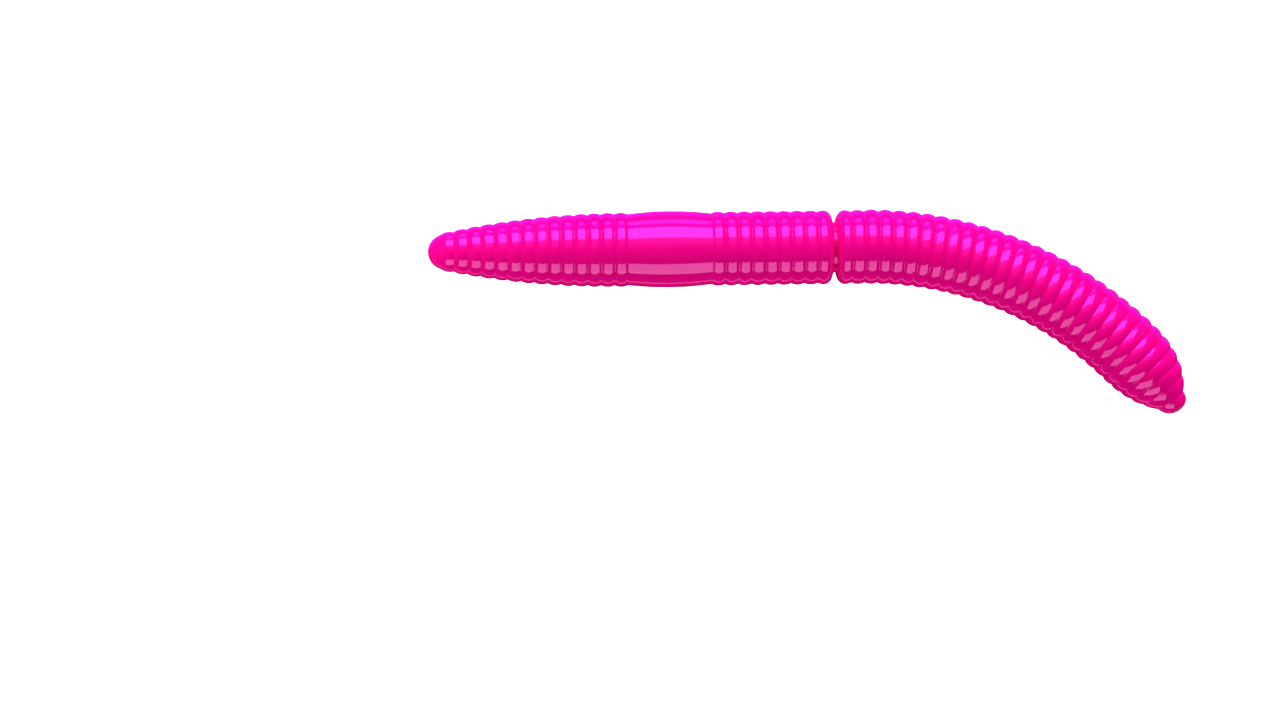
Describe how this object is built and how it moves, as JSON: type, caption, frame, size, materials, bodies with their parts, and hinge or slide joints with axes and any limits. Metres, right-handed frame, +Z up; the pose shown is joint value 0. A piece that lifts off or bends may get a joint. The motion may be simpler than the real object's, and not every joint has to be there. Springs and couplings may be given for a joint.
{
  "type": "soft plastic fishing worm",
  "caption": "Soft ringed fishing worm with a tapered head, a smooth saddle, a narrow waist for a hook or band and a curled tail that flexes at every groove.",
  "frame": {"origin": "on the surface the worm lies on, under the middle of its bounding box", "axes": "+X along the straight front half from nose to tail, tail curling towards -Y, +Z up"},
  "size_m": [0.0703, 0.0194, 0.0071],
  "materials": {
    "soft_plastic": "glossy soft plastisol"
  },
  "bodies": {
    "nose_tip": {"nose_tip": "soft_plastic"},
    "head_ring_01": {"head_ring_01": "soft_plastic"},
    "head_ring_02": {"head_ring_02": "soft_plastic"},
    "head_ring_03": {"head_ring_03": "soft_plastic"},
    "head_ring_04": {"head_ring_04": "soft_plastic"},
    "head_ring_05": {"head_ring_05": "soft_plastic"},
    "head_ring_06": {"head_ring_06": "soft_plastic"},
    "head_ring_07": {"head_ring_07": "soft_plastic"},
    "head_ring_08": {"head_ring_08": "soft_plastic"},
    "head_ring_09": {"head_ring_09": "soft_plastic"},
    "head_ring_10": {"head_ring_10": "soft_plastic"},
    "head_ring_11": {"head_ring_11": "soft_plastic"},
    "head_ring_12": {"head_ring_12": "soft_plastic"},
    "head_ring_13": {"head_ring_13": "soft_plastic"},
    "head_ring_14": {"head_ring_14": "soft_plastic"},
    "saddle_band": {"saddle_band": "soft_plastic"},
    "mid_ring_01": {"mid_ring_01": "soft_plastic"},
    "mid_ring_02": {"mid_ring_02": "soft_plastic"},
    "mid_ring_03": {"mid_ring_03": "soft_plastic"},
    "mid_ring_04": {"mid_ring_04": "soft_plastic"},
    "mid_ring_05": {"mid_ring_05": "soft_plastic"},
    "mid_ring_06": {"mid_ring_06": "soft_plastic"},
    "mid_ring_07": {"mid_ring_07": "soft_plastic"},
    "mid_ring_08": {"mid_ring_08": "soft_plastic"},
    "mid_ring_09": {"mid_ring_09": "soft_plastic"},
    "waist_neck": {"waist_neck": "soft_plastic"},
    "tail_ring_01": {"tail_ring_01": "soft_plastic"},
    "tail_ring_02": {"tail_ring_02": "soft_plastic"},
    "tail_ring_03": {"tail_ring_03": "soft_plastic"},
    "tail_ring_04": {"tail_ring_04": "soft_plastic"},
    "tail_ring_05": {"tail_ring_05": "soft_plastic"},
    "tail_ring_06": {"tail_ring_06": "soft_plastic"},
    "tail_ring_07": {"tail_ring_07": "soft_plastic"},
    "tail_ring_08": {"tail_ring_08": "soft_plastic"},
    "tail_ring_09": {"tail_ring_09": "soft_plastic"},
    "tail_ring_10": {"tail_ring_10": "soft_plastic"},
    "tail_ring_11": {"tail_ring_11": "soft_plastic"},
    "tail_ring_12": {"tail_ring_12": "soft_plastic"},
    "tail_ring_13": {"tail_ring_13": "soft_plastic"},
    "tail_ring_14": {"tail_ring_14": "soft_plastic"},
    "tail_ring_15": {"tail_ring_15": "soft_plastic"},
    "tail_ring_16": {"tail_ring_16": "soft_plastic"},
    "tail_ring_17": {"tail_ring_17": "soft_plastic"},
    "tail_ring_18": {"tail_ring_18": "soft_plastic"},
    "tail_ring_19": {"tail_ring_19": "soft_plastic"},
    "tail_ring_20": {"tail_ring_20": "soft_plastic"},
    "tail_ring_21": {"tail_ring_21": "soft_plastic"},
    "tail_ring_22": {"tail_ring_22": "soft_plastic"},
    "tail_ring_23": {"tail_ring_23": "soft_plastic"},
    "tail_ring_24": {"tail_ring_24": "soft_plastic"},
    "tail_ring_25": {"tail_ring_25": "soft_plastic"},
    "tail_ring_26": {"tail_ring_26": "soft_plastic"},
    "tail_ring_27": {"tail_ring_27": "soft_plastic"},
    "tail_ring_28": {"tail_ring_28": "soft_plastic"},
    "tail_ring_29": {"tail_ring_29": "soft_plastic"},
    "tail_tip": {"tail_tip": "soft_plastic"}
  },
  "joints": [
    {"name": "head_ring_14_side", "type": "hinge", "parent": "saddle_band", "child": "head_ring_14", "pos_m": [-0.01664, 0.00618, 0.00355], "axis": [0, 0.0523, -0.9986], "range_deg": [-8, 8], "stiffness_Nm_per_rad": 0.009},
    {"name": "head_ring_13_lift", "type": "hinge", "parent": "head_ring_14", "child": "head_ring_13", "pos_m": [-0.01788, 0.00618, 0.00355], "axis": [0, 0.9986, 0.0523], "range_deg": [-8, 8], "stiffness_Nm_per_rad": 0.009},
    {"name": "head_ring_12_side", "type": "hinge", "parent": "head_ring_13", "child": "head_ring_12", "pos_m": [-0.01912, 0.00618, 0.00355], "axis": [0, 0.0523, -0.9986], "range_deg": [-8, 8], "stiffness_Nm_per_rad": 0.009},
    {"name": "head_ring_11_lift", "type": "hinge", "parent": "head_ring_12", "child": "head_ring_11", "pos_m": [-0.02036, 0.00618, 0.00355], "axis": [0, 0.9986, 0.0523], "range_deg": [-8, 8], "stiffness_Nm_per_rad": 0.009},
    {"name": "head_ring_10_side", "type": "hinge", "parent": "head_ring_11", "child": "head_ring_10", "pos_m": [-0.0216, 0.00618, 0.00355], "axis": [0, 0.0523, -0.9986], "range_deg": [-8, 8], "stiffness_Nm_per_rad": 0.009},
    {"name": "head_ring_09_lift", "type": "hinge", "parent": "head_ring_10", "child": "head_ring_09", "pos_m": [-0.02284, 0.00618, 0.00355], "axis": [0, 0.9986, 0.0523], "range_deg": [-8, 8], "stiffness_Nm_per_rad": 0.009},
    {"name": "head_ring_08_side", "type": "hinge", "parent": "head_ring_09", "child": "head_ring_08", "pos_m": [-0.02408, 0.00618, 0.00355], "axis": [0, 0.0523, -0.9986], "range_deg": [-8, 8], "stiffness_Nm_per_rad": 0.009},
    {"name": "head_ring_07_lift", "type": "hinge", "parent": "head_ring_08", "child": "head_ring_07", "pos_m": [-0.02532, 0.00618, 0.00355], "axis": [0, 0.9986, 0.0523], "range_deg": [-8, 8], "stiffness_Nm_per_rad": 0.009},
    {"name": "head_ring_06_side", "type": "hinge", "parent": "head_ring_07", "child": "head_ring_06", "pos_m": [-0.02656, 0.00618, 0.00355], "axis": [0, 0.0523, -0.9986], "range_deg": [-8, 8], "stiffness_Nm_per_rad": 0.009},
    {"name": "head_ring_05_lift", "type": "hinge", "parent": "head_ring_06", "child": "head_ring_05", "pos_m": [-0.0278, 0.00618, 0.00355], "axis": [0, 0.9986, 0.0523], "range_deg": [-8, 8], "stiffness_Nm_per_rad": 0.009},
    {"name": "head_ring_04_side", "type": "hinge", "parent": "head_ring_05", "child": "head_ring_04", "pos_m": [-0.02904, 0.00618, 0.00355], "axis": [0, 0.0523, -0.9986], "range_deg": [-8, 8], "stiffness_Nm_per_rad": 0.009},
    {"name": "head_ring_03_lift", "type": "hinge", "parent": "head_ring_04", "child": "head_ring_03", "pos_m": [-0.03028, 0.00618, 0.00355], "axis": [0, 0.9986, 0.0523], "range_deg": [-8, 8], "stiffness_Nm_per_rad": 0.009},
    {"name": "head_ring_02_side", "type": "hinge", "parent": "head_ring_03", "child": "head_ring_02", "pos_m": [-0.03152, 0.00618, 0.00355], "axis": [0, 0.0523, -0.9986], "range_deg": [-8, 8], "stiffness_Nm_per_rad": 0.009},
    {"name": "head_ring_01_lift", "type": "hinge", "parent": "head_ring_02", "child": "head_ring_01", "pos_m": [-0.03276, 0.00618, 0.00355], "axis": [0, 0.9986, 0.0523], "range_deg": [-8, 8], "stiffness_Nm_per_rad": 0.009},
    {"name": "nose_tip_side", "type": "hinge", "parent": "head_ring_01", "child": "nose_tip", "pos_m": [-0.034, 0.00618, 0.00355], "axis": [0, 0.0523, -0.9986], "range_deg": [-8, 8], "stiffness_Nm_per_rad": 0.009},
    {"name": "mid_ring_01_side", "type": "hinge", "parent": "saddle_band", "child": "mid_ring_01", "pos_m": [-0.00887, 0.00618, 0.00355], "axis": [0, -0.0523, 0.9986], "range_deg": [-8, 8], "stiffness_Nm_per_rad": 0.009},
    {"name": "mid_ring_02_lift", "type": "hinge", "parent": "mid_ring_01", "child": "mid_ring_02", "pos_m": [-0.00763, 0.00618, 0.00355], "axis": [0, -0.9986, -0.0523], "range_deg": [-8, 8], "stiffness_Nm_per_rad": 0.009},
    {"name": "mid_ring_03_side", "type": "hinge", "parent": "mid_ring_02", "child": "mid_ring_03", "pos_m": [-0.0064, 0.00618, 0.00355], "axis": [0, -0.0523, 0.9986], "range_deg": [-8, 8], "stiffness_Nm_per_rad": 0.009},
    {"name": "mid_ring_04_lift", "type": "hinge", "parent": "mid_ring_03", "child": "mid_ring_04", "pos_m": [-0.00517, 0.00618, 0.00355], "axis": [0, -0.9986, -0.0523], "range_deg": [-8, 8], "stiffness_Nm_per_rad": 0.009},
    {"name": "mid_ring_05_side", "type": "hinge", "parent": "mid_ring_04", "child": "mid_ring_05", "pos_m": [-0.00394, 0.00618, 0.00355], "axis": [0, -0.0523, 0.9986], "range_deg": [-8, 8], "stiffness_Nm_per_rad": 0.009},
    {"name": "mid_ring_06_lift", "type": "hinge", "parent": "mid_ring_05", "child": "mid_ring_06", "pos_m": [-0.00271, 0.00618, 0.00355], "axis": [0, -0.9986, -0.0523], "range_deg": [-8, 8], "stiffness_Nm_per_rad": 0.009},
    {"name": "mid_ring_07_side", "type": "hinge", "parent": "mid_ring_06", "child": "mid_ring_07", "pos_m": [-0.00148, 0.00618, 0.00355], "axis": [0, -0.0523, 0.9986], "range_deg": [-8, 8], "stiffness_Nm_per_rad": 0.009},
    {"name": "mid_ring_08_lift", "type": "hinge", "parent": "mid_ring_07", "child": "mid_ring_08", "pos_m": [-0.00025, 0.00618, 0.00355], "axis": [0, -0.9986, -0.0523], "range_deg": [-8, 8], "stiffness_Nm_per_rad": 0.009},
    {"name": "mid_ring_09_side", "type": "hinge", "parent": "mid_ring_08", "child": "mid_ring_09", "pos_m": [0.00098, 0.00618, 0.00355], "axis": [0, -0.0523, 0.9986], "range_deg": [-8, 8], "stiffness_Nm_per_rad": 0.009},
    {"name": "waist_neck_lift", "type": "hinge", "parent": "mid_ring_09", "child": "waist_neck", "pos_m": [0.00221, 0.00618, 0.00355], "axis": [0, -0.9986, -0.0523], "range_deg": [-8, 8], "stiffness_Nm_per_rad": 0.009},
    {"name": "tail_ring_01_side", "type": "hinge", "parent": "waist_neck", "child": "tail_ring_01", "pos_m": [0.00291, 0.00618, 0.00355], "axis": [0, -0.0523, 0.9986], "range_deg": [-8, 8], "stiffness_Nm_per_rad": 0.009},
    {"name": "tail_ring_02_lift", "type": "hinge", "parent": "tail_ring_01", "child": "tail_ring_02", "pos_m": [0.00414, 0.00618, 0.00355], "axis": [0, -0.9986, -0.0523], "range_deg": [-8, 8], "stiffness_Nm_per_rad": 0.009},
    {"name": "tail_ring_03_side", "type": "hinge", "parent": "tail_ring_02", "child": "tail_ring_03", "pos_m": [0.00537, 0.00618, 0.00355], "axis": [0, -0.0523, 0.9986], "range_deg": [-8, 8], "stiffness_Nm_per_rad": 0.009},
    {"name": "tail_ring_04_lift", "type": "hinge", "parent": "tail_ring_03", "child": "tail_ring_04", "pos_m": [0.0066, 0.00616, 0.00355], "axis": [-0.0351, -0.998, -0.0523], "range_deg": [-8, 8], "stiffness_Nm_per_rad": 0.009},
    {"name": "tail_ring_05_side", "type": "hinge", "parent": "tail_ring_04", "child": "tail_ring_05", "pos_m": [0.00783, 0.00609, 0.00355], "axis": [-0.0037, -0.0522, 0.9986], "range_deg": [-8, 8], "stiffness_Nm_per_rad": 0.009},
    {"name": "tail_ring_06_lift", "type": "hinge", "parent": "tail_ring_05", "child": "tail_ring_06", "pos_m": [0.00905, 0.00599, 0.00355], "axis": [-0.1052, -0.9931, -0.0523], "range_deg": [-8, 8], "stiffness_Nm_per_rad": 0.009},
    {"name": "tail_ring_07_side", "type": "hinge", "parent": "tail_ring_06", "child": "tail_ring_07", "pos_m": [0.01028, 0.00584, 0.00355], "axis": [-0.0073, -0.0518, 0.9986], "range_deg": [-8, 8], "stiffness_Nm_per_rad": 0.009},
    {"name": "tail_ring_08_lift", "type": "hinge", "parent": "tail_ring_07", "child": "tail_ring_08", "pos_m": [0.01149, 0.00564, 0.00355], "axis": [-0.1747, -0.9832, -0.0523], "range_deg": [-8, 8], "stiffness_Nm_per_rad": 0.009},
    {"name": "tail_ring_09_side", "type": "hinge", "parent": "tail_ring_08", "child": "tail_ring_09", "pos_m": [0.0127, 0.00541, 0.00355], "axis": [-0.011, -0.0512, 0.9986], "range_deg": [-8, 8], "stiffness_Nm_per_rad": 0.009},
    {"name": "tail_ring_10_lift", "type": "hinge", "parent": "tail_ring_09", "child": "tail_ring_10", "pos_m": [0.01389, 0.00513, 0.00355], "axis": [-0.2434, -0.9685, -0.0523], "range_deg": [-8, 8], "stiffness_Nm_per_rad": 0.009},
    {"name": "tail_ring_11_side", "type": "hinge", "parent": "tail_ring_10", "child": "tail_ring_11", "pos_m": [0.01508, 0.00481, 0.00355], "axis": [-0.0145, -0.0503, 0.9986], "range_deg": [-8, 8], "stiffness_Nm_per_rad": 0.009},
    {"name": "tail_ring_12_lift", "type": "hinge", "parent": "tail_ring_11", "child": "tail_ring_12", "pos_m": [0.01626, 0.00444, 0.00355], "axis": [-0.3108, -0.949, -0.0523], "range_deg": [-8, 8], "stiffness_Nm_per_rad": 0.009},
    {"name": "tail_ring_13_side", "type": "hinge", "parent": "tail_ring_12", "child": "tail_ring_13", "pos_m": [0.01742, 0.00404, 0.00355], "axis": [-0.018, -0.0491, 0.9986], "range_deg": [-8, 8], "stiffness_Nm_per_rad": 0.009},
    {"name": "tail_ring_14_lift", "type": "hinge", "parent": "tail_ring_13", "child": "tail_ring_14", "pos_m": [0.01857, 0.0036, 0.00355], "axis": [-0.3768, -0.9248, -0.0523], "range_deg": [-8, 8], "stiffness_Nm_per_rad": 0.009},
    {"name": "tail_ring_15_side", "type": "hinge", "parent": "tail_ring_14", "child": "tail_ring_15", "pos_m": [0.0197, 0.00311, 0.00355], "axis": [-0.0214, -0.0477, 0.9986], "range_deg": [-8, 8], "stiffness_Nm_per_rad": 0.009},
    {"name": "tail_ring_16_lift", "type": "hinge", "parent": "tail_ring_15", "child": "tail_ring_16", "pos_m": [0.02081, 0.00259, 0.00355], "axis": [-0.4408, -0.8961, -0.0523], "range_deg": [-8, 8], "stiffness_Nm_per_rad": 0.009},
    {"name": "tail_ring_17_side", "type": "hinge", "parent": "tail_ring_16", "child": "tail_ring_17", "pos_m": [0.0219, 0.00203, 0.00355], "axis": [-0.0247, -0.0461, 0.9986], "range_deg": [-8, 8], "stiffness_Nm_per_rad": 0.009},
    {"name": "tail_ring_18_lift", "type": "hinge", "parent": "tail_ring_17", "child": "tail_ring_18", "pos_m": [0.02298, 0.00143, 0.00355], "axis": [-0.5027, -0.8629, -0.0523], "range_deg": [-8, 8], "stiffness_Nm_per_rad": 0.009},
    {"name": "tail_ring_19_side", "type": "hinge", "parent": "tail_ring_18", "child": "tail_ring_19", "pos_m": [0.02403, 0.00079, 0.00355], "axis": [-0.0279, -0.0443, 0.9986], "range_deg": [-8, 8], "stiffness_Nm_per_rad": 0.009},
    {"name": "tail_ring_20_lift", "type": "hinge", "parent": "tail_ring_19", "child": "tail_ring_20", "pos_m": [0.02506, 0.00011, 0.00355], "axis": [-0.5621, -0.8254, -0.0523], "range_deg": [-8, 8], "stiffness_Nm_per_rad": 0.009},
    {"name": "tail_ring_21_side", "type": "hinge", "parent": "tail_ring_20", "child": "tail_ring_21", "pos_m": [0.02606, -0.0006, 0.00355], "axis": [-0.031, -0.0422, 0.9986], "range_deg": [-8, 8], "stiffness_Nm_per_rad": 0.009},
    {"name": "tail_ring_22_lift", "type": "hinge", "parent": "tail_ring_21", "child": "tail_ring_22", "pos_m": [0.02704, -0.00134, 0.00355], "axis": [-0.6187, -0.7839, -0.0523], "range_deg": [-8, 8], "stiffness_Nm_per_rad": 0.009},
    {"name": "tail_ring_23_side", "type": "hinge", "parent": "tail_ring_22", "child": "tail_ring_23", "pos_m": [0.02799, -0.00212, 0.00355], "axis": [-0.0339, -0.0399, 0.9986], "range_deg": [-8, 8], "stiffness_Nm_per_rad": 0.009},
    {"name": "tail_ring_24_lift", "type": "hinge", "parent": "tail_ring_23", "child": "tail_ring_24", "pos_m": [0.02892, -0.00293, 0.00355], "axis": [-0.6723, -0.7384, -0.0523], "range_deg": [-8, 8], "stiffness_Nm_per_rad": 0.009},
    {"name": "tail_ring_25_side", "type": "hinge", "parent": "tail_ring_24", "child": "tail_ring_25", "pos_m": [0.02981, -0.00378, 0.00355], "axis": [-0.0366, -0.0374, 0.9986], "range_deg": [-8, 8], "stiffness_Nm_per_rad": 0.009},
    {"name": "tail_ring_26_lift", "type": "hinge", "parent": "tail_ring_25", "child": "tail_ring_26", "pos_m": [0.03068, -0.00465, 0.00355], "axis": [-0.7225, -0.6894, -0.0523], "range_deg": [-8, 8], "stiffness_Nm_per_rad": 0.009},
    {"name": "tail_ring_27_side", "type": "hinge", "parent": "tail_ring_26", "child": "tail_ring_27", "pos_m": [0.03151, -0.00555, 0.00355], "axis": [-0.0391, -0.0348, 0.9986], "range_deg": [-8, 8], "stiffness_Nm_per_rad": 0.009},
    {"name": "tail_ring_28_lift", "type": "hinge", "parent": "tail_ring_27", "child": "tail_ring_28", "pos_m": [0.03231, -0.00649, 0.00355], "axis": [-0.7692, -0.6369, -0.0523], "range_deg": [-8, 8], "stiffness_Nm_per_rad": 0.009},
    {"name": "tail_ring_29_side", "type": "hinge", "parent": "tail_ring_28", "child": "tail_ring_29", "pos_m": [0.03308, -0.00745, 0.00355], "axis": [-0.0415, -0.0319, 0.9986], "range_deg": [-8, 8], "stiffness_Nm_per_rad": 0.009},
    {"name": "tail_tip_lift", "type": "hinge", "parent": "tail_ring_29", "child": "tail_tip", "pos_m": [0.03381, -0.00844, 0.00355], "axis": [-0.812, -0.5813, -0.0523], "range_deg": [-8, 8], "stiffness_Nm_per_rad": 0.009}
  ]
}
